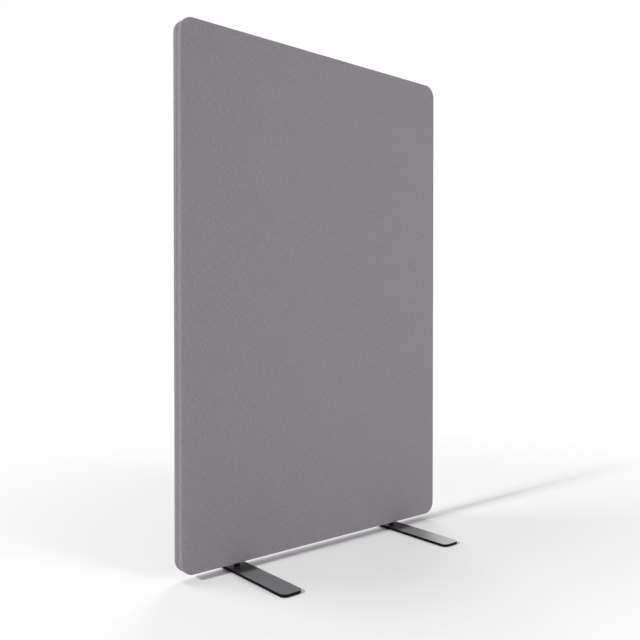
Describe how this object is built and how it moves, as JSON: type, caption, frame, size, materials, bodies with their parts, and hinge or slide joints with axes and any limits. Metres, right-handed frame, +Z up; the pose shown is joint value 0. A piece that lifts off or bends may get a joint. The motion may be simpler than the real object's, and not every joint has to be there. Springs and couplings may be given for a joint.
{
  "type": "acoustic divider screen",
  "caption": "Free-standing upholstered acoustic screen: a flat cloth-covered panel with rounded corners and an edge zip, on swivelling flat bar feet.",
  "frame": {"origin": "on the floor under the centre of the panel", "axes": "+X along the panel's width, +Y from the front face to the back face, +Z up"},
  "size_m": [1.2055, 0.64, 1.825],
  "materials": {
    "cover_cloth": "matte",
    "eyelet_plastic": "satin",
    "zip_tape": "matte",
    "zip_coil": "satin",
    "zip_metal": "satin",
    "wadding": "matte",
    "absorber": "matte",
    "pine": "matte",
    "dowel_wood": "matte",
    "zinc_steel": "satin",
    "black_coat": "satin",
    "pad_rubber": "matte"
  },
  "bodies": {
    "panel": {"cover_front": "cover_cloth", "cover_back": "cover_cloth", "cover_base": "cover_cloth", "post_eyelets": "eyelet_plastic", "zip_tape_front": "zip_tape", "zip_tape_back": "zip_tape", "zip_chain": "zip_coil", "zip_chain_side": "zip_coil", "zip_stops": "zip_metal", "wadding_front": "wadding", "wadding_back": "wadding", "absorber_upper": "absorber", "absorber_lower": "absorber", "stile_left": "pine", "stile_right": "pine", "top_rail": "pine", "mid_rail": "pine", "base_rail": "pine", "frame_dowels": "dowel_wood", "insert_left": "zinc_steel", "insert_right": "zinc_steel", "post_left": "black_coat", "post_right": "black_coat", "foot_bolt_left": "zinc_steel", "foot_bolt_right": "zinc_steel"},
    "foot_left": {"foot_plate_left": "black_coat", "foot_pads_left": "pad_rubber"},
    "foot_right": {"foot_plate_right": "black_coat", "foot_pads_right": "pad_rubber"},
    "slider": {"zip_slider": "zip_metal"},
    "pull": {"zip_pull": "zip_metal"}
  },
  "joints": [
    {"name": "left_foot_swivel", "type": "hinge", "parent": "panel", "child": "foot_left", "pos_m": [-0.375, 0, 0.006], "axis": [0, 0, 1], "range_deg": [-90, 90]},
    {"name": "right_foot_swivel", "type": "hinge", "parent": "panel", "child": "foot_right", "pos_m": [0.375, 0, 0.006], "axis": [0, 0, 1], "range_deg": [-90, 90]},
    {"name": "zip_slide", "type": "slide", "parent": "panel", "child": "slider", "axis": [0, 0, 1], "range_m": [0, 1.64], "deforming": ["zip_chain_side"]},
    {"name": "pull_hinge", "type": "hinge", "parent": "slider", "child": "pull", "pos_m": [0.6037, 0, 0.1268], "axis": [0, -1, 0], "range_deg": [0, 175]}
  ]
}
